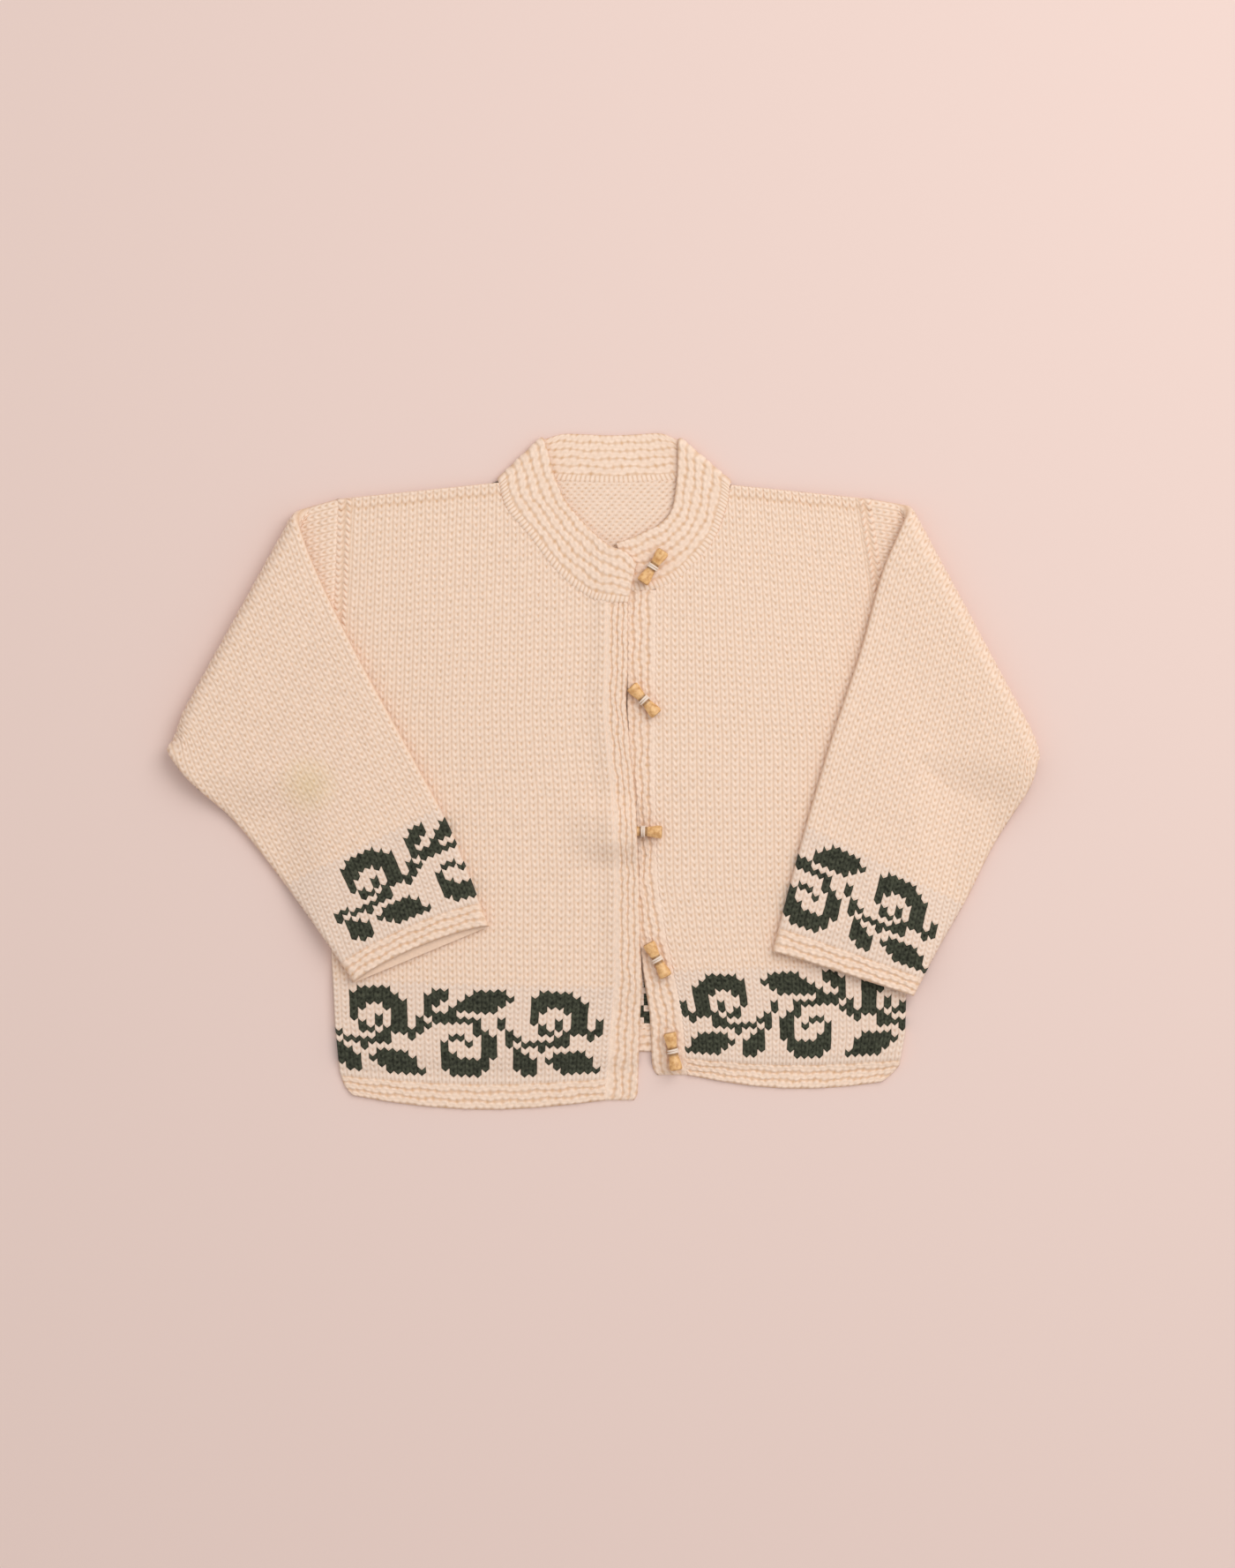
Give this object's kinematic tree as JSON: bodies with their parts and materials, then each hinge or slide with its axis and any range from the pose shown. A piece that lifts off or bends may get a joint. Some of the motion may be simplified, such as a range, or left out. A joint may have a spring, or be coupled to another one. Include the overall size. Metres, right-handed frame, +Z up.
{
  "type": "hand-knitted child's cardigan",
  "caption": "Child's cream knitted cardigan laid flat with sleeves folded over the fronts, garter stand collar and bands, bamboo toggles and a green vine border at hem and cuffs",
  "frame": {"origin": "centre of the laid-out garment's outline, on the surface it lies on", "axes": "+Z up off the surface, +X across the garment towards the wearer's left side, +Y towards the collar"},
  "size_m": [0.5206, 0.4006, 0.0165],
  "materials": {
    "cream_wool": "matte knitted wool",
    "bamboo": "satin"
  },
  "bodies": {
    "root": {"back": "cream_wool", "front_left": "cream_wool", "front_right": "cream_wool", "band_left": "cream_wool", "band_right": "cream_wool", "collar": "cream_wool", "sleeve_left": "cream_wool", "sleeve_right": "cream_wool", "toggle_1": "bamboo", "toggle_2": "bamboo", "toggle_3": "bamboo", "toggle_4": "bamboo", "toggle_5": "bamboo"}
  },
  "joints": []
}
